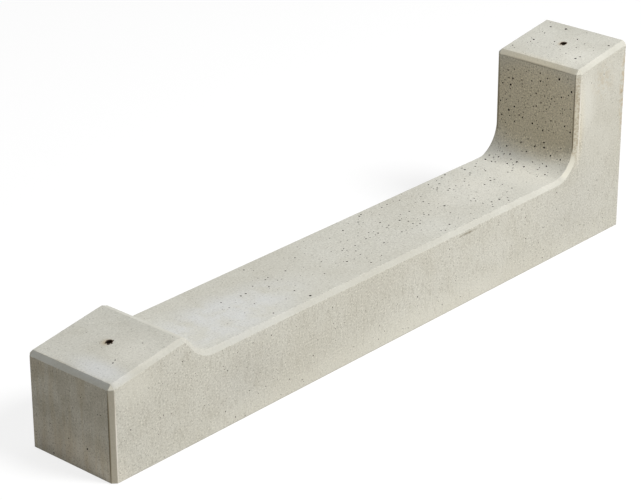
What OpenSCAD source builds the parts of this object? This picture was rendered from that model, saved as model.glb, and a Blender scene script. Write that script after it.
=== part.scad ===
// Precast concrete wheel stop: a low end block, a long low bar and a tall upright, cast in one,
// over a welded bar cage, with two upright pin sleeves.
// X runs along the length towards the upright, Y across the width and Z up from the base.
// Lengthwise places are stations, counted from the low end face.

/* [Concrete outline] */
// Length from the low end face to the tall end face
stop_length = 1050; // [900:10:1800]
// Width across the two long sides
stop_width = 150; // [130:5:220]
// Height of the bar between the two end blocks
floor_height = 118; // [105:1:160]
// Rise of the low block's top above the bar, at the low end face
low_rise = 15; // [10:1:60]
// Rise of the upright's top above the bar, at the tall end face
tall_rise = 176; // [130:1:260]
// Length of the low block's top
low_top_length = 129; // [115:1:200]
// Thickness of the upright along the length
upright_thickness = 120; // [105:1:180]

/* [Concrete edges] */
// Leg of the chamfer along every exposed edge
edge_chamfer = 6; // [3:0.5:9]
// Share of the full three-cornered facet that is cut off the top corners
corner_share = 0.8; // [0.4:0.05:0.95]
// Fall of the low block's inner face, in degrees from level
step_angle = 50; // [40:1:65]
// Radius between the low block's inner face and the bar
step_radius = 44; // [20:1:55]
// Radius between the bar and the upright
upright_radius = 43; // [20:1:80]

/* [Pin sleeves] */
// Bore of the sleeves that take the ground pins
pin_bore_d = 8; // [6:0.5:16]
// Wall of the sleeves
sleeve_wall = 1; // [0.8:0.1:3]
// Distance of the low sleeve's axis from the low end face
low_pin_setback = 70; // [64:1:84]
// Distance of the tall sleeve's axis from the tall end face
tall_pin_setback = 57; // [52:1:66]

/* [Bar cage] */
// Diameter of the main bars
main_bar_d = 10; // [8:1:14]
// Diameter of the links
link_bar_d = 6; // [5:0.5:8]
// Concrete cover outside the links
cage_cover = 25; // [20:1:32]
// Gap that the weld bead fills between bars that cross
weld_gap = 0.3; // [0.2:0.1:1]
// Bend radius of the main bars, on their centre line
main_bend_r = 25; // [20:1:35]
// Largest distance between the links along the bar
link_pitch_max = 180; // [120:5:250]
// Clear space between the low sleeve and the links beside it
sleeve_link_gap = 18; // [12:1:24]
// Largest distance between the upright's links
upright_link_pitch_max = 60; // [40:5:90]
// Height of the lowest upright link above the bar's top
upright_link_rise = 20; // [10:1:40]
// Length of the upright bars' straight feet
upright_foot_length = 190; // [80:10:400]

/* [Bar chairs] */
// Wall of the cradle that holds the bar
chair_wall = 2; // [1.5:0.1:3]
// Length of the cradle along the bar
chair_length = 14; // [10:1:20]
// Diameter of the chair's foot
chair_foot_d = 18; // [14:1:24]

/* [Hidden] */
CONCRETE = "#c9c6b9";
SLEEVE_STEEL = "#8a6f55";
BAR_STEEL = "#7d6a5c";
CHAIR_PLASTIC = "#5d5f60";
CHAIR_STATIONS = 3;
FRONT = -1;
BACK = 1;
TOWARDS_TALL = 1;
TOWARDS_LOW = -1;
// How far a cutter reaches into the air
reach = 2;
// How far a sloping face dips into its fillet's circle, so that the two meet in one clean line
fillet_dip = 0.002;
// How far a fillet's chamfer cut runs on under the straight cut beside it, in degrees
fillet_overlap = 5;
$fn = 96;

// Cage places are set out to a hundredth of a millimetre
function set_out(v) = round(v * 100) / 100;

half_width = stop_width / 2;

// Both end blocks have their tops in one sloping plane
top_slope = (tall_rise - low_rise) / stop_length;
top_angle = atan(top_slope);
function top_z(x) = floor_height + low_rise + top_slope * x;

// Corners and fillet centres of the side outline, as [station, height]
upright_x = stop_length - upright_thickness;
low_corner = [0, top_z(0)];
step_corner = [low_top_length, top_z(low_top_length)];
upright_corner = [upright_x, top_z(upright_x)];
tall_corner = [stop_length, top_z(stop_length)];
step_centre_z = floor_height + step_radius;
step_run = ((step_corner[1] - step_centre_z) * cos(step_angle) + step_radius) / sin(step_angle);
step_centre = [low_top_length + step_run, step_centre_z];
step_tangent = step_centre - (step_radius - fillet_dip) * [sin(step_angle), cos(step_angle)];
upright_centre = [upright_x - upright_radius, floor_height + upright_radius];
step_floor = [step_centre[0], floor_height];
upright_floor = [upright_centre[0], floor_height];
upright_tangent = [upright_x, upright_centre[1]];

// Sleeves
sleeve_d = pin_bore_d + 2 * sleeve_wall;
low_pin_x = low_pin_setback;
tall_pin_x = stop_length - tall_pin_setback;

// Cage places, worked inwards from the cover
link_edge = cage_cover + link_bar_d / 2;
bar_edge = cage_cover + link_bar_d + weld_gap + main_bar_d / 2;
outer_bar_y = half_width - bar_edge;
inner_bar_y = outer_bar_y - main_bar_d - chair_wall - weld_gap;
bottom_bar_z = bar_edge;
top_bar_z = floor_height - bar_edge;
low_leg_x = bar_edge;
tall_leg_x = stop_length - bar_edge;
upright_bar_x = upright_x + bar_edge;
bar_contact = main_bar_d / 2 + weld_gap;
// The links' corners are bent round the main bars
link_bend_r = bar_contact + link_bar_d / 2;

// Links: one on each side of the low sleeve, then an even row up to the upright bars
sleeve_link_offset = sleeve_d / 2 + sleeve_link_gap + link_bar_d / 2;
row_start = low_pin_x + sleeve_link_offset;
row_end = upright_bar_x - (main_bar_d + link_bar_d) / 2 - weld_gap;
row_bays = ceil((row_end - row_start) / link_pitch_max);
row_pitch = (row_end - row_start) / row_bays;
link_stations = concat(
    [low_pin_x - sleeve_link_offset],
    [for (i = [0:row_bays]) set_out(row_start + i * row_pitch)]
);

// Links round the upright, from just above the bar to under the top
upright_link_low_z = floor_height + upright_link_rise;
upright_link_top_z = set_out(top_z(upright_x + cage_cover) - link_edge);
upright_link_bays = ceil((upright_link_top_z - upright_link_low_z) / upright_link_pitch_max);
upright_link_pitch = (upright_link_top_z - upright_link_low_z) / upright_link_bays;
upright_link_levels = [
    for (i = [0:upright_link_bays]) set_out(upright_link_low_z + i * upright_link_pitch)
];

// Chairs stand in the first, middle and last bay of the row of links
chair_bays = [0, floor(row_bays / 2), row_bays - 1];
chair_stations = [for (bay = chair_bays) set_out(row_start + (bay + 1 / 2) * row_pitch)];

link_names = [for (i = [1:len(link_stations)]) str("cage_link_", i)];
upright_link_names = [for (i = [1:len(upright_link_levels)]) str("upright_link_", i)];
front_chair_names = [for (i = [1:CHAIR_STATIONS]) str("bar_chair_front_", i)];
back_chair_names = [for (i = [1:CHAIR_STATIONS]) str("bar_chair_back_", i)];

function unit(v) = v / norm(v);
// The point a given distance from p towards q
function towards(p, q, distance) = p + distance * unit(q - p);

// Moves stations to the frame's origin, at the middle of the base
module at_station(x = 0) {
    translate([x - stop_length / 2, 0, 0])
        children();
}

// Draws a flat shape upright, in the plane of the side outline
module in_side_plane(y = 0) {
    translate([0, y, 0])
        rotate([90, 0, 0])
            children();
}

// Repeats children on the front and the back side
module both_sides() {
    children();
    mirror([0, 1, 0])
        children();
}

// ---- Concrete ----

// Side outline, with the edges that run across the width already chamfered
module side_outline() {
    outline = [
        [0, 0],
        towards(low_corner, [0, 0], edge_chamfer),
        towards(low_corner, step_corner, edge_chamfer),
        towards(step_corner, low_corner, edge_chamfer),
        towards(step_corner, step_tangent, edge_chamfer),
        step_tangent,
        step_floor,
        upright_floor,
        upright_tangent,
        towards(upright_corner, upright_tangent, edge_chamfer),
        towards(upright_corner, tall_corner, edge_chamfer),
        towards(tall_corner, upright_corner, edge_chamfer),
        towards(tall_corner, [stop_length, 0], edge_chamfer),
        [stop_length, 0]
    ];
    difference() {
        polygon(outline);
        translate(step_centre)
            circle(r = step_radius);
        translate(upright_centre)
            circle(r = upright_radius);
    }
}

// Section of a chamfer cut: x is the depth from the side face, y the height over the edge
module arris_section() {
    polygon([
        [-reach, reach],
        [-reach, -edge_chamfer - reach],
        [edge_chamfer + reach, reach]
    ]);
}

// Chamfer cut along a straight edge of the front side, run on past p and q where asked
module straight_arris(p, q, past_p = 0, past_q = 0) {
    run = q - p;
    translate([p[0], -half_width, p[1]])
        rotate([0, -atan2(run[1], run[0]), 0])
            translate([-past_p, 0, 0])
                rotate([90, 0, 90])
                    linear_extrude(norm(run) + past_p + past_q)
                        arris_section();
}

// Chamfer cut round a fillet of the front side: the same section, turned about the fillet's axis
module fillet_arris(centre, radius, start, sweep) {
    translate([centre[0], -half_width, centre[1]])
        rotate([-90, 0, 0])
            rotate([0, 0, start])
                rotate_extrude(angle = sweep)
                    translate([radius, 0])
                        rotate(90)
                            arris_section();
}

// Cuts a three-cornered facet off a front top corner; the solid lies along `side` from it
module corner_facet(corner, side) {
    tip = [corner[0], -half_width, corner[1]];
    on_top = tip + edge_chamfer * [side * cos(top_angle), 1, side * sin(top_angle)];
    on_end = tip + edge_chamfer * [0, 1, -1];
    on_side = tip + edge_chamfer * [side, 0, side * tan(top_angle) - 1 / cos(top_angle)];
    square_to = unit(cross(on_end - on_top, on_side - on_top));
    outward = square_to[2] > 0 ? square_to : -square_to;
    lift = (1 - corner_share) * edge_chamfer / (2 * sqrt(3));
    block = 4 * edge_chamfer;
    translate(on_top + lift * outward)
        rotate([0, acos(outward[2]), atan2(outward[1], outward[0])])
            translate([-block / 2, -block / 2, 0])
                cube(block);
}

// Every chamfer of the front side, from the low end's foot round to the tall end's foot
module front_arris() {
    past = edge_chamfer;
    straight_arris([0, 0], low_corner, reach, past);
    straight_arris(low_corner, step_corner, past, past);
    straight_arris(step_corner, step_tangent, past);
    fillet_arris(step_centre, step_radius, 90, step_angle + fillet_overlap);
    straight_arris(step_floor, upright_floor);
    fillet_arris(upright_centre, upright_radius, 0, 90);
    straight_arris(upright_tangent, upright_corner, 0, past);
    straight_arris(upright_corner, tall_corner, past, past);
    straight_arris(tall_corner, [stop_length, 0], past, reach);
    corner_facet(low_corner, TOWARDS_TALL);
    corner_facet(upright_corner, TOWARDS_TALL);
    corner_facet(tall_corner, TOWARDS_LOW);
}

// Everything that the concrete is cast round
module cast_in_spaces() {
    sleeve_space(low_pin_x);
    sleeve_space(tall_pin_x);
    both_sides() {
        bottom_bar(FRONT);
        top_bar(FRONT);
        upright_bar(FRONT);
        for (x = chair_stations)
            bar_chair(x, FRONT);
    }
    for (x = link_stations)
        cage_link(x);
    for (z = upright_link_levels)
        upright_link(z);
}

module concrete_body() {
    color(CONCRETE)
        difference() {
            at_station() {
                difference() {
                    in_side_plane()
                        linear_extrude(stop_width, center = true)
                            side_outline();
                    both_sides()
                        front_arris();
                }
            }
            cast_in_spaces();
        }
}

// ---- Pin sleeves ----

// The room that a sleeve takes in the concrete
module sleeve_space(x) {
    at_station(x)
        translate([0, 0, -reach])
            cylinder(d = sleeve_d, h = top_z(x) + 2 * reach);
}

// A tube from the base to the block's sloping top, cut off flush with it
module pin_sleeve(x) {
    color(SLEEVE_STEEL)
        difference() {
            at_station(x)
                cylinder(d = sleeve_d, h = top_z(x) + reach);
            at_station(x)
                translate([0, 0, -reach])
                    cylinder(d = pin_bore_d, h = top_z(x) + 3 * reach);
            at_station(x)
                translate([0, 0, top_z(x)])
                    rotate([0, -top_angle, 0])
                        translate([-sleeve_d, -sleeve_d, 0])
                            cube(2 * sleeve_d);
        }
}

// ---- Bar cage ----

// A round bar along a flat route with square bends; a closed route joins its ends
module bent_bar(route, bend_r, d, closed = false) {
    count = len(route);
    last = closed ? count - 1 : count - 2;
    for (i = [0:last]) {
        p = route[i];
        q = route[(i + 1) % count];
        trim_p = (closed || i > 0) ? bend_r : 0;
        trim_q = (closed || i < last) ? bend_r : 0;
        start = towards(p, q, trim_p);
        run = q - p;
        translate([start[0], start[1], 0])
            rotate([0, 90, atan2(run[1], run[0])])
                cylinder(d = d, h = norm(run) - trim_p - trim_q);
        if (closed || i < last)
            elbow(p, q, route[(i + 2) % count], bend_r, d);
    }
}

// The quarter bend of a bar where a route turns at q
module elbow(p, q, r, bend_r, d) {
    before = unit(q - p);
    after = unit(r - q);
    centre = q + bend_r * (after - before);
    start = atan2(-after[1], -after[0]);
    turns_left = before[0] * after[1] - before[1] * after[0] > 0;
    translate([centre[0], centre[1], 0])
        rotate([0, 0, turns_left ? start : start - 90])
            rotate_extrude(angle = 90)
                translate([bend_r, 0])
                    circle(d = d);
}

// Lengthwise bar in the bottom of the cage, turned up into both end blocks
module bottom_bar(side) {
    low_leg_top = set_out(top_z(low_leg_x) - cage_cover - link_bar_d - weld_gap);
    tall_leg_top = set_out(top_z(tall_leg_x) - cage_cover);
    color(BAR_STEEL)
        at_station()
            in_side_plane(side * outer_bar_y)
                bent_bar([
                    [low_leg_x, low_leg_top],
                    [low_leg_x, bottom_bar_z],
                    [tall_leg_x, bottom_bar_z],
                    [tall_leg_x, tall_leg_top]
                ], main_bend_r, main_bar_d);
}

// Straight lengthwise bar in the top of the cage, between the bottom bar's legs
module top_bar(side) {
    color(BAR_STEEL)
        at_station()
            in_side_plane(side * outer_bar_y)
                bent_bar([
                    [low_leg_x + bar_contact, top_bar_z],
                    [tall_leg_x - bar_contact, top_bar_z]
                ], main_bend_r, main_bar_d);
}

// Bar up the upright's inner face, with its foot turned along the bottom of the cage
module upright_bar(side) {
    foot_end = upright_bar_x - main_bend_r - upright_foot_length;
    bar_top = set_out(top_z(upright_bar_x) - cage_cover);
    color(BAR_STEEL)
        at_station()
            in_side_plane(side * inner_bar_y)
                bent_bar([
                    [foot_end, bottom_bar_z],
                    [upright_bar_x, bottom_bar_z],
                    [upright_bar_x, bar_top]
                ], main_bend_r, main_bar_d);
}

// Closed link across the bar; in the low block it rises with the sloping top
module cage_link(x) {
    surface_z = x < low_top_length ? top_z(x) : floor_height;
    link_y = half_width - link_edge;
    top = set_out(surface_z - link_edge);
    color(BAR_STEEL)
        at_station(x)
            rotate([90, 0, 90])
                bent_bar([
                    [-link_y, link_edge],
                    [link_y, link_edge],
                    [link_y, top],
                    [-link_y, top]
                ], link_bend_r, link_bar_d, closed = true);
}

// Closed level link round the four bars of the upright
module upright_link(z) {
    link_y = half_width - link_edge;
    near = upright_x + link_edge;
    far = stop_length - link_edge;
    color(BAR_STEEL)
        at_station()
            translate([0, 0, z])
                bent_bar([
                    [near, -link_y],
                    [far, -link_y],
                    [far, link_y],
                    [near, link_y]
                ], link_bend_r, link_bar_d, closed = true);
}

// ---- Bar chairs ----

// Plastic chair that holds a bottom bar off the mould: a cone with a half-round cradle
module bar_chair(x, side) {
    cradle_d = main_bar_d + 2 * chair_wall;
    color(CHAIR_PLASTIC)
        at_station(x)
            translate([0, side * outer_bar_y, 0])
                difference() {
                    union() {
                        cylinder(d1 = chair_foot_d, d2 = main_bar_d, h = bottom_bar_z);
                        translate([0, 0, bottom_bar_z])
                            rotate([0, 90, 0])
                                cylinder(d = cradle_d, h = chair_length, center = true);
                    }
                    translate([0, 0, bottom_bar_z])
                        rotate([0, 90, 0])
                            cylinder(d = main_bar_d, h = chair_foot_d + chair_length, center = true);
                    translate([-chair_foot_d, -chair_foot_d, bottom_bar_z])
                        cube(2 * chair_foot_d);
                }
}

concrete_body();
pin_sleeve(low_pin_x);  // low_end_sleeve
pin_sleeve(tall_pin_x);  // tall_end_sleeve
bottom_bar(FRONT);  // bottom_bar_front
bottom_bar(BACK);  // bottom_bar_back
top_bar(FRONT);  // top_bar_front
top_bar(BACK);  // top_bar_back
upright_bar(FRONT);  // upright_bar_front
upright_bar(BACK);  // upright_bar_back
for (i = [0:len(link_stations) - 1])
    cage_link(link_stations[i]);
for (i = [0:len(upright_link_levels) - 1])
    upright_link(upright_link_levels[i]);
for (i = [0:CHAIR_STATIONS - 1]) {
    bar_chair(chair_stations[i], FRONT);
    bar_chair(chair_stations[i], BACK);
}
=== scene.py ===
"""Looks of a precast concrete wheel stop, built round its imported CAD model.

The concrete body is rebuilt here with rounded arrises, chips and air holes as real geometry.
The sleeves, the bar cage and the chairs are the CAD solids themselves, with their own finishes.
Everything is in metres, in the CAD's frame: X towards the upright, Z up, origin at the base.
"""

import math
from random import Random

import bmesh
import bpy
from mathutils import Matrix, Vector, noise


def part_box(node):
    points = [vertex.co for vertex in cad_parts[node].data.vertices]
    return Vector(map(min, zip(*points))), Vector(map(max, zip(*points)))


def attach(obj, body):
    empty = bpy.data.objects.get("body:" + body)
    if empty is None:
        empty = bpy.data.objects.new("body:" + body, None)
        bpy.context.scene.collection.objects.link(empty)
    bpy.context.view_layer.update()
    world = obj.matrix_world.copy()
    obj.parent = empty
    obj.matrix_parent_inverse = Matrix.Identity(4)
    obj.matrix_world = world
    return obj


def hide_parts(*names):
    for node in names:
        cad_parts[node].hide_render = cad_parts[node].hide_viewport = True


MM = 0.001

# ---- Driving sizes of the concrete, as in the CAD ----

FLOOR_HEIGHT = 118 * MM
LOW_RISE = 15 * MM
TALL_RISE = 176 * MM
LOW_TOP_LENGTH = 129 * MM
UPRIGHT_THICKNESS = 120 * MM
EDGE_CHAMFER = 6 * MM
STEP_ANGLE = math.radians(50)
STEP_RADIUS = 44 * MM
UPRIGHT_RADIUS = 43 * MM
LOW_PIN_SETBACK = 70 * MM
TALL_PIN_SETBACK = 57 * MM
CHAIR_POCKET_DEPTH = 12 * MM

# ---- Fineness and wear of the concrete mesh ----

ARC_STEP = 2.6 * MM
ARRIS_ROUNDING = 0.5 * MM
ARRIS_SEGMENTS = 2
ROUND_SIDES = 48
SMOOTH_ANGLE = math.radians(28)
MOUTH_RADIUS = 7 * MM
# Air holes keep this far from edges, and this many radii and this gap from each other
HOLE_MARGIN = 3 * MM
HOLE_SPACING = 1.5
HOLE_GAP = 1.0 * MM
# An air hole's depth over its width, and how strongly sizes lean to the small end
HOLE_DEPTH = 1.7
SIZE_SKEW = 2.2
# How far a crowd of air holes spreads, as a share of its surface
CROWD_SPREAD = 0.05
# How far lumps stand out, as a share of the radius, and how many there are to a radius
LUMP_HEIGHT = 0.4
LUMP_PITCH = 1.3

# ---- The photograph's camera, found by fitting the stop's corners ----

CAMERA_PLACE = Vector((-2.2198, -1.9295, 1.4548))
CAMERA_AIM = Vector((-0.0665, 0.0, 0.1347))
CAMERA_ROLL = math.radians(-0.093)
SENSOR_WIDTH_MM = 36.0
LENS_MM = 133.31

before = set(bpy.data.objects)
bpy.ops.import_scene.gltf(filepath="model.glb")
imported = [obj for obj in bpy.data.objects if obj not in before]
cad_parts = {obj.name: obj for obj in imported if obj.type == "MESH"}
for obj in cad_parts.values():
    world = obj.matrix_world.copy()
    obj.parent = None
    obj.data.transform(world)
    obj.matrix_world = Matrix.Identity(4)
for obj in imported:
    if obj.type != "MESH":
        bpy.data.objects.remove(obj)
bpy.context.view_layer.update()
body_low, body_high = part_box("concrete_body")
stop_length = body_high.x - body_low.x
half_width = (body_high.y - body_low.y) / 2
front_y = -half_width
top_slope = (TALL_RISE - LOW_RISE) / stop_length
slope_normal = Vector((-top_slope, 0, 1)).normalized()


def top_z(x):
    """Height of the end blocks' common sloping plane."""
    return FLOOR_HEIGHT + LOW_RISE + top_slope * (x - body_low.x)


# ---- Side outline, with x along the stop and y for its height ----

upright_x = body_high.x - UPRIGHT_THICKNESS
step_x = body_low.x + LOW_TOP_LENGTH
low_pin_x = body_low.x + LOW_PIN_SETBACK
tall_pin_x = body_high.x - TALL_PIN_SETBACK
LOW_FOOT = Vector((body_low.x, 0))
LOW_CORNER = Vector((body_low.x, top_z(body_low.x)))
STEP_CORNER = Vector((step_x, top_z(step_x)))
UPRIGHT_CORNER = Vector((upright_x, top_z(upright_x)))
TALL_CORNER = Vector((body_high.x, top_z(body_high.x)))
TALL_FOOT = Vector((body_high.x, 0))
STEP_NORMAL = Vector((math.sin(STEP_ANGLE), math.cos(STEP_ANGLE)))
STEP_CENTRE_Z = FLOOR_HEIGHT + STEP_RADIUS
STEP_CENTRE = Vector((
    step_x
    + ((STEP_CORNER.y - STEP_CENTRE_Z) * STEP_NORMAL.y + STEP_RADIUS) / STEP_NORMAL.x,
    STEP_CENTRE_Z,
))
UPRIGHT_CENTRE = Vector((upright_x - UPRIGHT_RADIUS, FLOOR_HEIGHT + UPRIGHT_RADIUS))
DOWN = math.radians(-90)


def corner_points(before, corner, after, inset):
    """The two points where the outline turns at a chamfered corner; with an inset they are one."""
    into = (corner - before).normalized()
    out = (after - corner).normalized()
    if inset == 0:
        return [corner - EDGE_CHAMFER * into, corner + EDGE_CHAMFER * out]
    normal_in = Vector((-into.y, into.x))
    normal_out = Vector((-out.y, out.x))
    shift = (normal_in + normal_out) / (1 + normal_in.dot(normal_out))
    return [corner - inset * shift] * 2


def arc_points(centre, radius, start, end, inset):
    """Points round a concave fillet, from the direction `start` to `end`, in radians."""
    count = math.ceil(abs(end - start) * radius / ARC_STEP)
    angles = [start + (end - start) * i / count for i in range(count + 1)]
    reach = radius + inset
    return [centre + reach * Vector((math.cos(a), math.sin(a))) for a in angles]


def side_outline(inset):
    """The side outline from the low foot round to the tall foot, drawn in by `inset`."""
    step_tangent = STEP_CENTRE - STEP_RADIUS * STEP_NORMAL
    upright_tangent = Vector((upright_x, UPRIGHT_CENTRE.y))
    return [
        LOW_FOOT + Vector((inset, 0)),
        *corner_points(LOW_FOOT, LOW_CORNER, STEP_CORNER, inset),
        *corner_points(LOW_CORNER, STEP_CORNER, step_tangent, inset),
        *arc_points(STEP_CENTRE, STEP_RADIUS, DOWN - STEP_ANGLE, DOWN, inset),
        *arc_points(UPRIGHT_CENTRE, UPRIGHT_RADIUS, DOWN, 0, inset),
        *corner_points(upright_tangent, UPRIGHT_CORNER, TALL_CORNER, inset),
        *corner_points(UPRIGHT_CORNER, TALL_CORNER, TALL_FOOT, inset),
        TALL_FOOT - Vector((inset, 0)),
    ]


# ---- Mesh helpers ----


def new_object(name, bm, *materials):
    """A linked object that holds the bmesh, which is freed."""
    mesh = bpy.data.meshes.new(name)
    bm.normal_update()
    bm.to_mesh(mesh)
    bm.free()
    for material in materials:
        mesh.materials.append(material)
    made = bpy.data.objects.new(name, mesh)
    bpy.context.scene.collection.objects.link(made)
    return made


def apply_modifiers(obj):
    """Puts the mesh that the modifiers make in the place of the object's own."""
    depsgraph = bpy.context.evaluated_depsgraph_get()
    made = bpy.data.meshes.new_from_object(obj.evaluated_get(depsgraph), depsgraph=depsgraph)
    obj.modifiers.clear()
    old = obj.data
    obj.data = made
    bpy.data.meshes.remove(old)


def cut(body, cutter):
    """Takes the cutter out of the body; the cut faces keep the cutter's own material."""
    boolean = body.modifiers.new("cut", "BOOLEAN")
    boolean.operation = "DIFFERENCE"
    boolean.solver = "MANIFOLD"
    boolean.object = cutter
    boolean.material_mode = "TRANSFER"
    apply_modifiers(body)
    bpy.data.objects.remove(cutter)


def smooth_by_angle(obj):
    """Smooth shading that stops at real edges, with large faces setting the normals."""
    obj.data.shade_smooth()
    obj.data.set_sharp_from_angle(angle=SMOOTH_ANGLE)
    weighted = obj.modifiers.new("weighted", "WEIGHTED_NORMAL")
    weighted.keep_sharp = True
    weighted.weight = 100
    apply_modifiers(obj)


# ---- The block ----

PANEL, ARRIS = 0, 1


def add_face(bm, corners, material_index):
    """A face through the corners, with repeated corners taken once."""
    distinct = [v for i, v in enumerate(corners) if v is not corners[i - 1]]
    if len(distinct) > 2:
        bm.faces.new(distinct).material_index = material_index


def add_ring(bm, y, inset):
    """The side outline's vertices at one place across the width; coinciding ones are shared."""
    ring = []
    for p in side_outline(inset):
        place = Vector((p.x, y, p.y))
        repeats = ring and (ring[-1].co - place).length < ARRIS_ROUNDING / 100
        ring.append(ring[-1] if repeats else bm.verts.new(place))
    return ring


def is_cross_chamfer(a, b):
    """Whether two neighbours on the full outline are the ends of a chamfered corner."""
    corners = (LOW_CORNER, STEP_CORNER, UPRIGHT_CORNER, TALL_CORNER)
    middle = (a.co.xz + b.co.xz) / 2
    return any((middle - corner).length < EDGE_CHAMFER for corner in corners)


def body_block(*materials):
    """The chamfered concrete as a closed mesh: four outlines across the width, joined by faces."""
    bm = bmesh.new()
    edge_y = half_width - EDGE_CHAMFER
    rings = [
        add_ring(bm, -half_width, EDGE_CHAMFER),
        add_ring(bm, -edge_y, 0),
        add_ring(bm, edge_y, 0),
        add_ring(bm, half_width, EDGE_CHAMFER),
    ]
    for near, far in zip(rings, rings[1:]):
        between_sides = near is rings[1]
        for i in range(len(near) - 1):
            plain = between_sides and not is_cross_chamfer(near[i], near[i + 1])
            corners = [near[i], near[i + 1], far[i + 1], far[i]]
            add_face(bm, corners, PANEL if plain else ARRIS)
    add_face(bm, rings[0][::-1], PANEL)
    add_face(bm, rings[3], PANEL)
    add_face(bm, [r[0] for r in rings] + [r[-1] for r in rings[::-1]], PANEL)
    bmesh.ops.recalc_face_normals(bm, faces=bm.faces)
    least_turn = math.radians(12)
    arrises = [e for e in bm.edges if e.calc_face_angle() > least_turn]
    bmesh.ops.bevel(
        bm,
        geom=arrises,
        offset=ARRIS_ROUNDING,
        segments=ARRIS_SEGMENTS,
        profile=0.5,
        affect="EDGES",
        clamp_overlap=True,
    )
    return new_object("concrete_body_looks", bm, *materials)


# ---- What the sleeves and the chairs' feet fill ----


def add_cylinder(bm, x, y, low, high, radius):
    bmesh.ops.create_cone(
        bm,
        cap_ends=True,
        segments=ROUND_SIDES,
        radius1=radius,
        radius2=radius,
        depth=high - low,
        matrix=Matrix.Translation((x, y, (low + high) / 2)),
    )


def fitted_holes(material):
    """Holes to the CAD solids' own places and sizes."""
    bm = bmesh.new()
    past = 5 * MM
    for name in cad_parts:
        low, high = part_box(name)
        middle = (low + high) / 2
        radius = (high.y - low.y) / 2
        if name.endswith("sleeve"):
            add_cylinder(bm, middle.x, middle.y, -past, high.z + past, radius)
        elif name.startswith("bar_chair"):
            add_cylinder(bm, middle.x, middle.y, -past, CHAIR_POCKET_DEPTH, radius)
    return new_object("fitted_holes", bm, material)


# ---- Air holes and chips ----


class Blobs:
    """Lumpy closed blobs that take bites out of the surface, spaced unless they may overlap."""

    def __init__(self, seed, spaced=True):
        self.rng = Random(seed)
        self.bm = bmesh.new()
        self.spaced = spaced
        self.taken = []

    def is_clear(self, place, radius):
        if not self.spaced:
            return True
        for other, other_radius in self.taken:
            if (place - other).length < (radius + other_radius) * HOLE_SPACING + HOLE_GAP:
                return False
        return True

    def add(self, place, normal, radius, sink, depth=1.0):
        """A blob `depth` times as deep as wide, its middle `sink` radii under the surface."""
        if not self.is_clear(place, radius):
            return
        self.taken.append((place, radius))
        rng = self.rng
        is_large = radius > 0.8 * MM
        made = bmesh.ops.create_icosphere(
            self.bm,
            subdivisions=2 if is_large else 1,
            radius=radius,
        )
        spin = Matrix.Rotation(rng.uniform(0, math.tau), 3, "Z").to_quaternion()
        turn = normal.to_track_quat("Z", "Y") @ spin
        noise_place = Vector((rng.random(), rng.random(), rng.random())) * 50
        stretch = Vector((1, rng.uniform(0.65, 1), depth))
        middle = place - sink * radius * normal
        for v in made["verts"]:
            lump = 1 + LUMP_HEIGHT * noise.noise(v.co / radius * LUMP_PITCH + noise_place)
            v.co = middle + turn @ (v.co * lump * stretch)

    def size(self, small, large):
        """Most are small: the draw is skewed towards the small end."""
        return small + (large - small) * self.rng.random() ** SIZE_SKEW

    def scatter(self, surface, count, small, large, mode=(None, None), crowding=0.0):
        """Air holes over a surface with (u, v) in 0..1: thickest at the mode, some in crowds."""
        rng = self.rng
        spot = [0.5, 0.5]
        for _ in range(count):
            if rng.random() < crowding:
                spot = [s + rng.gauss(0, CROWD_SPREAD) for s in spot]
            else:
                spot = [rng.random() if m is None else rng.triangular(0, 1, m) for m in mode]
            if all(0 < s < 1 for s in spot):
                place, normal = surface(*spot)
                radius = self.size(small, large)
                self.add(place, normal, radius, rng.uniform(0.2, 0.6), HOLE_DEPTH)


def across(v):
    """A place across the width, clear of the chamfers."""
    return (2 * v - 1) * (half_width - EDGE_CHAMFER - HOLE_MARGIN)


def between(low, high, t):
    """A place between two ends, clear of both."""
    return low + HOLE_MARGIN + t * (high - low - 2 * HOLE_MARGIN)


def inner_face(u, v):
    z = between(UPRIGHT_CENTRE.y, UPRIGHT_CORNER.y - EDGE_CHAMFER, v)
    return Vector((upright_x, across(u), z)), Vector((-1, 0, 0))


def fillet(u, v):
    """Round the upright's fillet, from the bar's flat top upwards."""
    angle = math.radians(80) * u
    x = UPRIGHT_CENTRE.x + UPRIGHT_RADIUS * math.sin(angle)
    z = UPRIGHT_CENTRE.y - UPRIGHT_RADIUS * math.cos(angle)
    return Vector((x, across(v), z)), Vector((-math.sin(angle), 0, math.cos(angle)))


def bar_top(u, v):
    x = between(STEP_CENTRE.x, UPRIGHT_CENTRE.x, u)
    return Vector((x, across(v), FLOOR_HEIGHT)), Vector((0, 0, 1))


def low_top(u, v):
    x = between(body_low.x + EDGE_CHAMFER, step_x - EDGE_CHAMFER, u)
    return Vector((x, across(v), top_z(x))), slope_normal


def tall_top(u, v):
    x = between(upright_x + EDGE_CHAMFER, body_high.x - EDGE_CHAMFER, u)
    return Vector((x, across(v), top_z(x))), slope_normal


def low_end(u, v):
    z = between(0, LOW_CORNER.y - EDGE_CHAMFER, v)
    return Vector((body_low.x, across(u), z)), Vector((-1, 0, 0))


def tall_end(u, v):
    z = between(0, TALL_CORNER.y - EDGE_CHAMFER, v)
    return Vector((body_high.x, across(u), z)), Vector((1, 0, 0))


def long_side(side):
    """Places over one long side: -1 for the front, 1 for the back."""

    def surface(u, v):
        x = between(body_low.x + EDGE_CHAMFER, body_high.x - EDGE_CHAMFER, u)
        in_block = x < step_x or x > upright_x
        ceiling = (top_z(x) if in_block else FLOOR_HEIGHT) - 2 * EDGE_CHAMFER
        return Vector((x, side * half_width, between(0, ceiling, v))), Vector((0, side, 0))

    return surface


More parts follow.
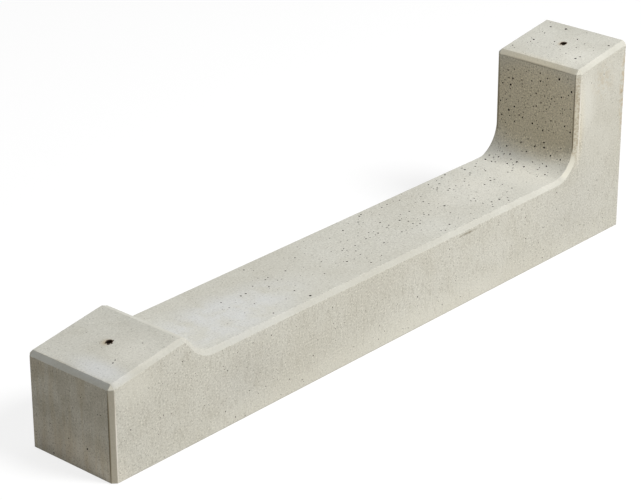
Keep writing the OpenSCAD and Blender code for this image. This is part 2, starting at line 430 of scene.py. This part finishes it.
# Crumbled mouths of the pin holes: how far along and across, and the radius, in millimetres
LOW_MOUTH_BITES = ((-3.6, -2.8, 2.6), (-4.6, 1.6, 1.7), (-1.0, -5.0, 1.7), (4.4, -2.0, 1.3))
TALL_MOUTH_BITES = ((-3.8, -2.6, 2.4), (-4.4, 2.6, 1.6), (4.0, -2.8, 1.2))
LOW_MOUTH_PITS = ((-9, 8, 0.8), (-7, 11, 0.6), (-10, 13, 0.6), (-5, 9, 0.5), (-12, 6, 0.5))


def keep_mouths_clear(blobs):
    """Keeps the air holes off the mouths of the pin holes."""
    for pin_x in (low_pin_x, tall_pin_x):
        blobs.taken.append((Vector((pin_x, 0, top_z(pin_x))), MOUTH_RADIUS))


def large_air_holes(blobs):
    """The few large holes, made first so that the many small ones keep clear of them."""
    blobs.scatter(tall_top, 8, 1.2 * MM, 2.1 * MM)
    blobs.scatter(low_top, 3, 1.0 * MM, 1.3 * MM)
    blobs.scatter(inner_face, 11, 1.4 * MM, 2.3 * MM)
    blobs.scatter(low_end, 4, 0.9 * MM, 1.6 * MM)
    blobs.scatter(bar_top, 38, 1.3 * MM, 2.1 * MM, mode=(0.9, None))
    blobs.scatter(fillet, 12, 1.2 * MM, 2.1 * MM)
    blobs.scatter(long_side(-1), 6, 0.9 * MM, 1.2 * MM)


def air_holes(material):
    """Air holes left by bubbles against the mould: thick by the upright, thin elsewhere."""
    blobs = Blobs(seed=41)
    keep_mouths_clear(blobs)
    large_air_holes(blobs)
    blobs.scatter(inner_face, 330, 0.55 * MM, 1.7 * MM, mode=(None, 0.3), crowding=0.4)
    blobs.scatter(fillet, 85, 0.6 * MM, 1.9 * MM, crowding=0.3)
    blobs.scatter(bar_top, 170, 0.6 * MM, 1.7 * MM, mode=(0.97, None), crowding=0.3)
    blobs.scatter(bar_top, 150, 0.6 * MM, 1.7 * MM, mode=(0.55, 0.5), crowding=0.3)
    blobs.scatter(tall_top, 60, 0.6 * MM, 1.5 * MM, crowding=0.4)
    blobs.scatter(low_top, 26, 0.4 * MM, 0.8 * MM)
    blobs.scatter(low_end, 30, 0.4 * MM, 0.9 * MM)
    blobs.scatter(tall_end, 90, 0.45 * MM, 1.3 * MM, crowding=0.3)
    for side in (-1, 1):
        blobs.scatter(long_side(side), 330, 0.4 * MM, 1.0 * MM, crowding=0.25)
    return new_object("air_holes", blobs.bm, material)


def crumbled_mouths(material):
    """The concrete broken away round the pin holes, with small pits beside the low one."""
    depths = Random(5)
    blobs = Blobs(seed=5, spaced=False)
    for pin_x, bites in (
        (low_pin_x, LOW_MOUTH_BITES + LOW_MOUTH_PITS),
        (tall_pin_x, TALL_MOUTH_BITES),
    ):
        for along, y, radius in bites:
            x = pin_x + along * MM
            place = Vector((x, y * MM, top_z(x)))
            blobs.add(place, slope_normal, radius * MM, sink=depths.uniform(0, 0.2))
    return new_object("crumbled_mouths", blobs.bm, material)


def arris_lines():
    """The sharp lines of the block, each a start, an end and the way out of the concrete."""
    lines = []
    for side in (-1, 1):
        out = Vector((0, side, 0))
        for inset, normal_y in ((EDGE_CHAMFER, 0.9), (0, 0.45)):
            points = side_outline(inset)
            y = side * (half_width if inset else half_width - EDGE_CHAMFER)
            for a, b in zip(points, points[1:]):
                run = b - a
                if run.length > ARC_STEP / 2:
                    up = Vector((-run.y, 0, run.x)).normalized()
                    normal = (out * normal_y + up * (1 - normal_y)).normalized()
                    lines.append((Vector((a.x, y, a.y)), Vector((b.x, y, b.y)), normal))
        low, high = (Vector((e.x, side * half_width, 0)) for e in (LOW_FOOT, TALL_FOOT))
        lines.append((low, high, (out - Vector((0, 0, 1))).normalized()))
    return lines


def chips(material):
    """Small shallow chips along the arrises and the two bottom edges."""
    blobs = Blobs(seed=17)
    rng = blobs.rng
    spacing = 26 * MM
    for start, end, normal in arris_lines():
        length = (end - start).length
        for _ in range(round(length / spacing + rng.random() - 0.5)):
            place = start.lerp(end, rng.random())
            radius = blobs.size(0.6 * MM, 1.8 * MM)
            blobs.add(place, normal, radius, sink=-0.6, depth=0.8)
    return new_object("chips", blobs.bm, material)


# ---- Materials ----


class Shader:
    """Short words for building one node material."""

    def __init__(self, name):
        self.material = bpy.data.materials.new(name)
        self.material.use_nodes = True
        self.nodes = self.material.node_tree.nodes
        self.links = self.material.node_tree.links
        self.surface = self.nodes["Principled BSDF"]
        coordinates = self.nodes.new("ShaderNodeTexCoord")
        self.place = coordinates.outputs["Object"]
        self.facing = coordinates.outputs["Normal"]

    def feed(self, value, socket):
        """A link, a number or a colour into a socket."""
        if isinstance(value, (int, float)):
            socket.default_value = value
        elif isinstance(value, tuple):
            socket.default_value = (*value, 1)
        else:
            self.links.new(value, socket)

    def finish(self, **values):
        """Sets or links the surface's own sockets."""
        for name, value in values.items():
            self.feed(value, self.surface.inputs[name.replace("_", " ")])

    def scaled(self, scale):
        """The place in the object's frame, scaled along each axis."""
        node = self.nodes.new("ShaderNodeMapping")
        node.inputs["Scale"].default_value = scale
        self.links.new(self.place, node.inputs["Vector"])
        return node.outputs["Vector"]

    def noise(self, scale, detail=4.0, roughness=0.55, vector=None):
        node = self.nodes.new("ShaderNodeTexNoise")
        node.inputs["Scale"].default_value = scale
        node.inputs["Detail"].default_value = detail
        node.inputs["Roughness"].default_value = roughness
        self.links.new(vector or self.place, node.inputs["Vector"])
        return node.outputs["Fac"]

    def cells(self, scale, vector=None):
        node = self.nodes.new("ShaderNodeTexVoronoi")
        node.inputs["Scale"].default_value = scale
        self.links.new(vector or self.place, node.inputs["Vector"])
        return node.outputs["Distance"]

    def ramp(self, value, low, high, to_low=0.0, to_high=1.0):
        node = self.nodes.new("ShaderNodeMapRange")
        node.interpolation_type = "SMOOTHSTEP"
        node.inputs["From Min"].default_value = low
        node.inputs["From Max"].default_value = high
        node.inputs["To Min"].default_value = to_low
        node.inputs["To Max"].default_value = to_high
        self.links.new(value, node.inputs["Value"])
        return node.outputs["Result"]

    def math(self, operation, a, b):
        node = self.nodes.new("ShaderNodeMath")
        node.operation = operation
        self.feed(a, node.inputs[0])
        self.feed(b, node.inputs[1])
        return node.outputs["Value"]

    def times(self, a, b):
        return self.math("MULTIPLY", a, b)

    def tint(self, base, colour, amount, blend="MIX"):
        """Blends a colour over the base by an amount."""
        node = self.nodes.new("ShaderNodeMix")
        node.data_type = "RGBA"
        node.blend_type = blend
        factor, a, b = (s for s in node.inputs if s.enabled and s.name in ("Factor", "A", "B"))
        self.feed(amount, factor)
        self.feed(base, a)
        self.feed(colour, b)
        return next(s for s in node.outputs if s.enabled)

    def shade(self, base, factors, amount):
        """Multiplies the base by a factor for each channel."""
        return self.tint(base, factors, amount, blend="MULTIPLY")

    def near(self, centre, size, soft=1.0):
        """1 in an ellipsoid round a place, falling to 0 at its edge."""
        node = self.nodes.new("ShaderNodeMapping")
        node.vector_type = "TEXTURE"
        node.inputs["Location"].default_value = centre
        node.inputs["Scale"].default_value = size
        self.links.new(self.place, node.inputs["Vector"])
        length = self.nodes.new("ShaderNodeVectorMath")
        length.operation = "LENGTH"
        self.links.new(node.outputs["Vector"], length.inputs[0])
        return self.ramp(length.outputs["Value"], 1.0, 1.0 - soft)

    def facings(self):
        """How far the surface faces along each axis, either way, 0 to 1."""
        parts = self.nodes.new("ShaderNodeSeparateXYZ")
        self.links.new(self.facing, parts.inputs[0])
        return [self.math("ABSOLUTE", parts.outputs[axis], 0) for axis in "XYZ"]

    def any_of(self, first, *others):
        for other in others:
            first = self.math("MAXIMUM", first, other)
        return first

    def bump(self, *layers):
        """Stacks bumps, each a height, a distance in metres and a strength."""
        normal = None
        for height, distance, strength in layers:
            node = self.nodes.new("ShaderNodeBump")
            node.inputs["Distance"].default_value = distance
            node.inputs["Strength"].default_value = strength
            self.links.new(height, node.inputs["Height"])
            if normal:
                self.links.new(normal, node.inputs["Normal"])
            normal = node.outputs["Normal"]
        self.links.new(normal, self.surface.inputs["Normal"])


# Colours in linear light
PASTE = (0.555, 0.542, 0.475)
PALE_PASTE = (0.612, 0.605, 0.545)
DULL_PASTE = (0.52, 0.505, 0.435)
GREY_STREAK = (0.40, 0.38, 0.32)
DARK_SAND = (0.27, 0.255, 0.21)
PALE_SAND = (0.82, 0.805, 0.72)
FINE_PORE = (0.22, 0.2, 0.16)
COOL_BLOOM = (0.66, 0.67, 0.665)
WARM_BLOOM = (0.70, 0.685, 0.615)
# Painted bounce light at the low end's foot
FOOT_BOUNCE_LIGHT = (0.80, 0.76, 0.66)
PALE_FRONT = (0.74, 0.73, 0.65)
PALE_UPRIGHT = (0.74, 0.735, 0.675)
PALE_ARRIS = (0.80, 0.785, 0.69)
# Painted highlight along two vertical arrises
ARRIS_HIGHLIGHT = (0.86, 0.83, 0.76)
CREAM_FACET = (0.70, 0.68, 0.585)
RUST_STAIN = (0.45, 0.35, 0.21)
RUST_SPOT = (0.44, 0.36, 0.235)
RUSTY_RIM = (0.42, 0.34, 0.22)
BROWN_CORNER = (0.38, 0.335, 0.235)
BROWN_JOINT = (0.15, 0.12, 0.07)
BROWN_STREAK = (0.24, 0.21, 0.15)
# Painted shade under the inner top chamfer
LIP_PAINTED_SHADE = (0.30, 0.27, 0.20)
# Painted contact shadow along the front's foot
FOOT_PAINTED_SHADOW = (0.35, 0.33, 0.27)

# How far a painted region reaches off its face and off its arris
FACE_REACH = 10 * MM
ARRIS_REACH = 12 * MM


def concrete(name, graininess, is_arris):
    """Pale warm precast concrete: mottling, cement bloom, sand, fine pores, rust stains, painted
    light and shade.
    """
    s = Shader(name)
    broad = s.noise(7.0, detail=3.0)
    cloudy = s.noise(24.0, detail=5.0, roughness=0.6)
    sandy = s.noise(400.0, detail=3.0, roughness=0.8)
    fine = s.noise(1300.0, detail=2.0, roughness=0.6)

    colour = s.tint(PASTE, PALE_PASTE, s.ramp(broad, 0.3, 0.7))
    colour = s.tint(colour, DULL_PASTE, s.ramp(cloudy, 0.45, 0.75, 0.0, 0.5))
    colour = bloom_and_foot_bounce_light(s, colour, cloudy)
    colour = concrete_sand(s, colour, sandy, graininess)
    colour = inner_bounce_light_and_rust(s, colour)
    colour = edge_lines(s, colour)
    colour = pin_hole_rims(s, colour)
    colour = arris_stains(s, colour) if is_arris else panel_stains(s, colour)

    s.finish(Base_Color=colour, Roughness=0.9, Specular_IOR_Level=0.25)
    s.bump((cloudy, 0.0006, 0.25), (sandy, 0.0004, 0.45), (fine, 0.00015, 0.4))
    return s.material


def bloom_and_foot_bounce_light(s, colour, cloudy):
    """Pale cement bloom, cool by the low block and on its end arris, warmer on the other tops;
    painted bounce light at the foot.
    """
    arris_x = body_low.x + 20 * MM
    bar = s.near((step_x + 0.116, -0.02, FLOOR_HEIGHT), (0.19, 0.075, 0.03), soft=0.75)
    arris = s.near((arris_x, -0.035, top_z(arris_x)), (0.03, 0.07, ARRIS_REACH), soft=0.9)
    back_place = (body_low.x + 1 * MM, half_width + 3 * MM, 0.075)
    back = s.near(back_place, (0.02, 0.02, 0.09), soft=0.9)
    cool = s.any_of(s.times(bar, s.ramp(cloudy, 0.3, 0.62)), arris, back)
    colour = s.tint(colour, COOL_BLOOM, s.times(cool, 0.8))

    low_x = low_pin_x - 3 * MM
    tall_x = tall_pin_x - 26 * MM
    far_bar = s.near((upright_x - 0.135, 0.0, FLOOR_HEIGHT), (0.16, 0.07, 0.03), soft=0.9)
    fillet_foot = s.near((upright_x - 0.055, -0.02, FLOOR_HEIGHT), (0.06, 0.08, 0.02), soft=0.8)
    on_low = s.near((low_x, -0.042, top_z(low_x)), (0.055, 0.055, ARRIS_REACH), soft=0.9)
    on_tall = s.near((tall_x, -0.045, top_z(tall_x)), (0.06, 0.05, ARRIS_REACH), soft=0.9)
    warm = s.any_of(
        s.times(far_bar, s.ramp(cloudy, 0.35, 0.6, 0.1, 0.65)),
        s.times(fillet_foot, 0.5),
        s.times(on_low, 0.6),
        s.times(on_tall, 0.6),
    )
    colour = s.tint(colour, WARM_BLOOM, warm)
    # Painted bounce light from the floor: the foot of the low end made paler
    bounce_at_foot = s.near((body_low.x, 0.0, 0.0), (0.05, 0.14, 0.066), soft=0.9)
    return s.tint(colour, FOOT_BOUNCE_LIGHT, s.times(bounce_at_foot, 0.9))


def grain_amount(s, upness, graininess):
    """How much sand shows, which differs from face to face."""
    amount = s.ramp(upness, 0.3, 0.8, graininess, graininess * 0.5)
    calm = s.near((body_high.x - 0.05, front_y, 0.205), (0.085, 0.03, 0.12), soft=0.6)
    amount = s.times(amount, s.ramp(calm, 0.0, 1.0, 1.0, 0.6))
    rough_face = s.near((upright_x, 0.0, 0.2), (0.03, 0.14, 0.11), soft=0.4)
    rough_top = s.near((0.14, 0.0, FLOOR_HEIGHT), (0.28, 0.12, 0.03), soft=0.6)
    rough = s.any_of(rough_face, rough_top)
    return s.times(amount, s.ramp(rough, 0.0, 1.0, 1.0, 1.4))


def concrete_sand(s, colour, sandy, graininess):
    """Upright streaks on the sides, dark and pale grains, and fine pores."""
    _, sideness, upness = s.facings()
    grain = grain_amount(s, upness, graininess)
    streaky = s.noise(1.0, detail=4.0, roughness=0.6, vector=s.scaled((210, 210, 60)))
    streaks = s.times(s.ramp(streaky, 0.5, 0.7, 0.0, 0.4), sideness)
    colour = s.tint(colour, GREY_STREAK, s.times(streaks, grain))
    colour = s.tint(colour, DARK_SAND, s.times(s.ramp(sandy, 0.52, 0.7, 0.0, 0.85), grain))
    colour = s.tint(colour, PALE_SAND, s.times(s.ramp(sandy, 0.48, 0.3, 0.0, 0.9), grain))
    pores = s.ramp(s.cells(1.0, vector=s.scaled((300, 300, 150))), 0.2, 0.1)
    pore_sites = s.ramp(s.noise(70.0, detail=2.0), 0.52, 0.64, 0.0, graininess * 0.85)
    return s.tint(colour, FINE_PORE, s.times(pores, pore_sites))


def inner_bounce_light_and_rust(s, colour):
    """Painted warm bounce light on the inner face, and rusty patches on the upright's front and
    far front edge.
    """
    # Painted light: the inner face brightened and warmed as by light bounced off the floor
    warm = s.near((upright_x, 0.0, 0.2), (0.03, 0.14, 0.1), soft=0.5)
    colour = s.shade(colour, (1.08, 1.01, 0.88), warm)
    patches = s.ramp(s.noise(150.0, detail=4.0), 0.44, 0.6)
    far_edge = s.near((body_high.x - 5 * MM, front_y, 0.215), (0.014, 0.014, 0.09), soft=0.7)
    upper_front = s.near((upright_x + 0.06, front_y, 0.245), (0.04, 0.014, 0.04), soft=0.9)
    rusty = s.any_of(s.times(upper_front, 0.3), s.times(far_edge, 0.75))
    return s.tint(colour, RUST_STAIN, s.times(rusty, patches))


def edge_lines(s, colour):
    """Fine lines: brown joints, a streak, painted shade by a lip and the foot, two painted
    highlights.
    """
    edge_y = half_width - EDGE_CHAMFER
    joint = s.any_of(
        s.near((body_low.x, -edge_y, 0.06), (2.0 * MM, 2.0 * MM, 0.1), soft=0.6),
        s.near((upright_x, -edge_y, 0.2), (2.0 * MM, 2.0 * MM, 0.1), soft=0.6),
        s.near((upright_x, edge_y, 0.2), (2.4 * MM, 2.4 * MM, 0.1), soft=0.6),
    )
    colour = s.tint(colour, BROWN_JOINT, s.times(joint, 0.85))
    streak = s.near((0.156, front_y, FLOOR_HEIGHT - 10.5 * MM), (0.028, 0.004, 2.4 * MM), soft=0.6)
    ragged = s.ramp(s.noise(260.0, detail=4.0), 0.35, 0.6, 0.2, 0.75)
    colour = s.tint(colour, BROWN_STREAK, s.times(streak, ragged))
    # Painted shade: a dark band along the lower edge of the inner top chamfer
    lip_z = UPRIGHT_CORNER.y - EDGE_CHAMFER
    shade_under_lip = s.near((upright_x, 0.0, lip_z), (2.5 * MM, 0.1, 2.2 * MM), soft=0.7)
    colour = s.tint(colour, LIP_PAINTED_SHADE, s.times(shade_under_lip, 0.6))
    # Painted contact shadow: a thin dark line along the foot of the front
    contact_shadow_line = s.near((0.0, front_y, 0.0), (0.7, 0.004, 2.2 * MM), soft=0.6)
    colour = s.tint(colour, FOOT_PAINTED_SHADOW, s.times(contact_shadow_line, 0.6))
    # Painted highlights: pale lines along two vertical front arrises
    highlighted_arrises = s.any_of(
        s.near((body_low.x + EDGE_CHAMFER, front_y, 0.06), (1.9 * MM, 1.9 * MM, 0.09), soft=0.7),
        s.near((upright_x + EDGE_CHAMFER, front_y, 0.2), (2.2 * MM, 2.2 * MM, 0.09), soft=0.7),
    )
    return s.tint(colour, ARRIS_HIGHLIGHT, s.times(highlighted_arrises, 0.8))


def pin_hole_rims(s, colour):
    """Rusty concrete round the mouths of the pin holes."""
    low_rim = s.near((low_pin_x - 3 * MM, 2 * MM, top_z(low_pin_x)), (0.011, 0.011, 0.009))
    tall_rim = s.near((tall_pin_x - 2 * MM, 1 * MM, top_z(tall_pin_x)), (0.01, 0.01, 0.009))
    return s.tint(colour, RUSTY_RIM, s.times(s.any_of(low_rim, tall_rim), 0.8))


def panel_stains(s, colour):
    """A dull cloudy low end, darker far edges on the tops, paler and darker places in front."""
    dull = s.near((body_low.x, 0.0, 0.09), (FACE_REACH, 0.14, 0.1), soft=0.6)
    colour = s.shade(colour, (0.89, 0.88, 0.86), dull)
    end = s.near((body_low.x, 0.0, 0.07), (FACE_REACH, 0.2, 0.2), soft=0.5)
    cloudy = s.ramp(s.noise(38.0, detail=3.0), 0.35, 0.65)
    colour = s.shade(colour, (0.87, 0.86, 0.84), s.times(end, cloudy))
    runs = s.ramp(s.noise(1.0, detail=3.0, vector=s.scaled((110, 110, 12))), 0.45, 0.65)
    colour = s.shade(colour, (0.96, 0.93, 0.88), s.times(end, runs))

    tall_x = body_high.x - 10 * MM
    low_x = step_x - EDGE_CHAMFER
    far_edges = s.any_of(
        s.near((tall_x, 0.02, top_z(tall_x)), (0.04, 0.1, ARRIS_REACH), soft=0.9),
        s.near((low_x, 0.01, top_z(low_x)), (0.035, 0.09, ARRIS_REACH), soft=0.9),
        s.near((upright_x - 10 * MM, -0.068, 0.165), (0.03, 0.035, 0.035), soft=0.9),
    )
    colour = s.shade(colour, (0.93, 0.93, 0.925), far_edges)
    by_step = s.near((step_x + 0.106, front_y, 0.06), (0.09, FACE_REACH, 0.06), soft=0.9)
    colour = s.shade(colour, (0.93, 0.93, 0.935), by_step)
    by_fillet = s.near((upright_x + 5 * MM, front_y, 0.07), (0.14, FACE_REACH, 0.09), soft=0.9)
    colour = s.shade(colour, (0.95, 0.95, 0.955), by_fillet)
    by_upright = s.near((upright_x + 0.02, front_y, 0.225), (0.04, FACE_REACH, 0.08), soft=0.9)
    colour = s.tint(colour, PALE_UPRIGHT, s.times(by_upright, 0.5))
    low_front = s.near((0.02, front_y, 0.0), (0.6, FACE_REACH, 0.05), soft=0.9)
    by_corner = s.near((body_low.x + 0.04, front_y, 0.12), (0.055, FACE_REACH, 0.04), soft=0.9)
    return s.tint(colour, PALE_FRONT, s.times(s.any_of(low_front, by_corner), 0.4))


def corner_facets(s):
    """1 on the small facets where three chamfers meet, but not on the step's sloped chamfer."""
    endness, sideness, upness = s.facings()
    largest_product = 1 / (3 * math.sqrt(3))
    product = s.times(s.times(endness, sideness), upness)
    facet = s.ramp(s.times(product, 1 / largest_product), 0.5, 0.85)
    step = s.near((step_x + 0.021, front_y, 0.135), (0.05, 0.02, 0.04), soft=0.4)
    return s.times(facet, s.ramp(step, 0.0, 1.0, 1.0, 0.0))


def arris_stains(s, colour):
    """Cream facets and inner arrises, a dull grey end arris and a brown near corner."""
    along_top = (ARRIS_REACH, 0.12, ARRIS_REACH)
    inner_top = s.near((upright_x, 0.0, UPRIGHT_CORNER.y), along_top, soft=0.3)
    colour = s.shade(colour, (0.97, 0.95, 0.90), inner_top)
    inner_side = s.near((upright_x, front_y, 0.215), (ARRIS_REACH, ARRIS_REACH, 0.1), soft=0.3)
    colour = s.tint(colour, PALE_ARRIS, s.times(inner_side, 0.4))
    front = s.near((-0.1, front_y, FLOOR_HEIGHT), (0.5, ARRIS_REACH, 0.1), soft=0.5)
    colour = s.shade(colour, (0.945, 0.945, 0.945), front)
    inner_spots = s.near((upright_x, front_y, 0.205), (ARRIS_REACH, ARRIS_REACH, 0.09), soft=0.4)
    patches = s.ramp(s.noise(330.0, detail=4.0), 0.44, 0.58)
    colour = s.tint(colour, RUST_SPOT, s.times(s.times(inner_spots, patches), 0.6))

    end = s.near((body_low.x, 0.0, LOW_CORNER.y), along_top, soft=0.3)
    colour = s.shade(colour, (0.78, 0.795, 0.81), end)
    corner = s.near((body_low.x, front_y, 0.05), (ARRIS_REACH, ARRIS_REACH, 0.1), soft=0.2)
    colour = s.tint(colour, BROWN_CORNER, s.times(corner, 0.5))
    return s.tint(colour, CREAM_FACET, corner_facets(s))


def air_hole_shade():
    """Painted shade: the inside of the air holes and crumbled mouths made near black, dusty."""
    s = Shader("air_hole_shade")
    dusty = s.noise(900.0, detail=3.0)
    # Near-black painted shade, mottled
    colour = s.tint((0.008, 0.007, 0.005), (0.03, 0.025, 0.018), s.ramp(dusty, 0.4, 0.75))
    s.finish(Base_Color=colour, Roughness=0.95, Specular_IOR_Level=0.1)
    s.bump((dusty, 0.0002, 0.4))
    return s.material


def sleeve_steel():
    """Thin steel tube, its mouth dusted with cement and rust and its rusty bore painted near black
    as shade.
    """
    s = Shader("sleeve_steel")
    blotches = s.noise(420.0, detail=6.0, roughness=0.65)
    fine = s.noise(1500.0, detail=4.0)
    mouths = [
        s.near((x, 0.0, top_z(x) + 1 * MM), (12 * MM, 12 * MM, 2.5 * MM), soft=0.4)
        for x in (low_pin_x, tall_pin_x)
    ]
    dust = s.any_of(*mouths)
    # Painted shade: the bore inside the tube made near black
    bore_shade = s.tint((0.010, 0.007, 0.005), (0.03, 0.016, 0.010), s.ramp(blotches, 0.45, 0.65))
    rim = s.tint((0.13, 0.095, 0.065), (0.06, 0.038, 0.022), s.ramp(blotches, 0.4, 0.6))
    colour = s.tint(bore_shade, rim, dust)
    s.finish(
        Base_Color=colour,
        Metallic=0.4,
        Specular_IOR_Level=0.2,
        Roughness=s.ramp(blotches, 0.35, 0.7, 0.6, 0.9),
    )
    s.bump((blotches, 0.0002, 0.5), (fine, 0.0001, 0.5))
    return s.material


def bar_steel():
    """Hot-rolled bar: blue-grey mill scale with rust coming through, and raised ribs."""
    s = Shader("bar_steel")
    blotches = s.noise(160.0, detail=6.0, roughness=0.65)
    fine = s.noise(1100.0, detail=4.0)
    colour = s.tint((0.12, 0.12, 0.125), (0.26, 0.12, 0.055), s.ramp(blotches, 0.48, 0.66))
    colour = s.tint(colour, (0.03, 0.025, 0.02), s.ramp(fine, 0.55, 0.75, 0.0, 0.5))
    ribs = s.nodes.new("ShaderNodeTexWave")
    ribs.bands_direction = "DIAGONAL"
    ribs.inputs["Scale"].default_value = 90.0
    s.links.new(s.place, ribs.inputs["Vector"])
    s.finish(
        Base_Color=colour,
        Metallic=0.75,
        Roughness=s.ramp(blotches, 0.35, 0.7, 0.45, 0.85),
    )
    s.bump(
        (s.ramp(ribs.outputs["Fac"], 0.6, 0.9), 0.0008, 0.8),
        (blotches, 0.0003, 0.4),
        (fine, 0.0001, 0.5),
    )
    return s.material


def chair_plastic():
    """Matt dark grey moulded plastic, scuffed by the mould."""
    s = Shader("chair_plastic")
    scuffs = s.noise(1.0, detail=5.0, vector=s.scaled((900, 250, 250)))
    grain = s.noise(1800.0, detail=2.0)
    colour = s.tint((0.10, 0.105, 0.11), (0.17, 0.17, 0.172), s.ramp(scuffs, 0.5, 0.75))
    s.finish(Base_Color=colour, Roughness=s.ramp(scuffs, 0.4, 0.7, 0.45, 0.7))
    s.bump((grain, 0.00008, 0.4), (scuffs, 0.0001, 0.3))
    return s.material


# ---- The pieces ----


def make_body():
    """The detailed concrete, which stands for the CAD's."""
    panel = concrete("precast_concrete", graininess=1.0, is_arris=False)
    arris = concrete("precast_concrete_arris", graininess=0.35, is_arris=True)
    painted_hole_shade = air_hole_shade()
    body = body_block(panel, arris)
    cut(body, fitted_holes(panel))
    cut(body, chips(arris))
    # The air holes and crumbled mouths are lined with the painted shade material
    cut(body, air_holes(painted_hole_shade))
    cut(body, crumbled_mouths(painted_hole_shade))
    smooth_by_angle(body)
    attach(body, "root")
    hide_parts("concrete_body")
    return body


def finish_cad_nodes():
    """Each carried-over CAD node gets its own finish."""
    sleeve, bar, plastic = sleeve_steel(), bar_steel(), chair_plastic()
    for name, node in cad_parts.items():
        if name == "concrete_body":
            continue
        looks = sleeve if "sleeve" in name else plastic if "chair" in name else bar
        for material_slot in node.material_slots:
            material_slot.material = looks


# ---- Stage, light and camera ----

FLOOR_SIZE = 30.0
FLOOR_GAP = 0.5 * MM
WORLD_LIGHT = 0.22
LAMP_AIM = Vector((0, 0, 0.1))


def seen_directly(nodes, links):
    """1 where the camera looks straight or by a reflection, 0 for light that bounces."""
    path = nodes.new("ShaderNodeLightPath")
    seen = path.outputs["Is Camera Ray"]
    for kind in ("Is Glossy Ray", "Is Transmission Ray"):
        either = nodes.new("ShaderNodeMath")
        either.operation = "ADD"
        either.use_clamp = True
        links.new(seen, either.inputs[0])
        links.new(path.outputs[kind], either.inputs[1])
        seen = either.outputs[0]
    return seen


def add_shader(nodes, kind, colour, strength=None):
    node = nodes.new(kind)
    node.inputs["Color"].default_value = (*colour, 1)
    if strength is not None:
        node.inputs["Strength"].default_value = strength
    return node.outputs[0]


def floor_white():
    """White to the camera, with a pale shadow; an ordinary pale floor to the light."""
    material = bpy.data.materials.new("floor_white")
    material.use_nodes = True
    nodes, links = material.node_tree.nodes, material.node_tree.links
    nodes.clear()
    shown = nodes.new("ShaderNodeAddShader")
    links.new(add_shader(nodes, "ShaderNodeBsdfDiffuse", (0.24, 0.24, 0.24)), shown.inputs[0])
    links.new(add_shader(nodes, "ShaderNodeEmission", (1, 1, 1), 0.8), shown.inputs[1])
    mix = nodes.new("ShaderNodeMixShader")
    links.new(seen_directly(nodes, links), mix.inputs[0])
    links.new(add_shader(nodes, "ShaderNodeBsdfDiffuse", (0.68, 0.65, 0.60)), mix.inputs[1])
    links.new(shown.outputs[0], mix.inputs[2])
    out = nodes.new("ShaderNodeOutputMaterial")
    links.new(mix.outputs[0], out.inputs["Surface"])
    return material


def make_floor():
    bm = bmesh.new()
    bmesh.ops.create_grid(bm, x_segments=1, y_segments=1, size=FLOOR_SIZE)
    floor = new_object("floor", bm, floor_white())
    floor.location.z = -FLOOR_GAP


def make_world():
    """White to the camera, a low even light to everything else."""
    world = bpy.data.worlds.new("studio")
    bpy.context.scene.world = world
    world.use_nodes = True
    nodes, links = world.node_tree.nodes, world.node_tree.links
    strength = nodes.new("ShaderNodeMapRange")
    strength.inputs["To Min"].default_value = WORLD_LIGHT
    strength.inputs["To Max"].default_value = 1.0
    links.new(seen_directly(nodes, links), strength.inputs["Value"])
    background = nodes["Background"]
    background.inputs["Color"].default_value = (1, 1, 1, 1)
    links.new(strength.outputs["Result"], background.inputs["Strength"])


def add_lamp(name, place, power, diameter):
    """A large round soft lamp, aimed at the stop."""
    data = bpy.data.lights.new(name, "AREA")
    data.shape = "DISK"
    data.size = diameter
    data.energy = power
    lamp = bpy.data.objects.new(name, data)
    lamp.location = place
    lamp.rotation_mode = "QUATERNION"
    lamp.rotation_quaternion = (LAMP_AIM - Vector(place)).to_track_quat("-Z", "Y")
    bpy.context.scene.collection.objects.link(lamp)


def make_camera():
    data = bpy.data.cameras.new("photo_camera")
    data.sensor_fit = "HORIZONTAL"
    data.sensor_width = SENSOR_WIDTH_MM
    data.lens = LENS_MM
    camera = bpy.data.objects.new("photo_camera", data)
    aimed = (CAMERA_AIM - CAMERA_PLACE).to_track_quat("-Z", "Y").to_matrix().to_4x4()
    rolled = Matrix.Rotation(CAMERA_ROLL, 4, "Z")
    camera.matrix_world = Matrix.Translation(CAMERA_PLACE) @ aimed @ rolled
    bpy.context.scene.collection.objects.link(camera)
    bpy.context.scene.camera = camera


bpy.context.scene.view_settings.view_transform = "Standard"
make_camera()
make_world()
add_lamp("key", (0.8, -2.6, 3.3), power=158, diameter=1.5)
add_lamp("overhead", (0.4, 0.6, 4.3), power=28, diameter=2.5)
make_floor()
make_body()
finish_cad_nodes()
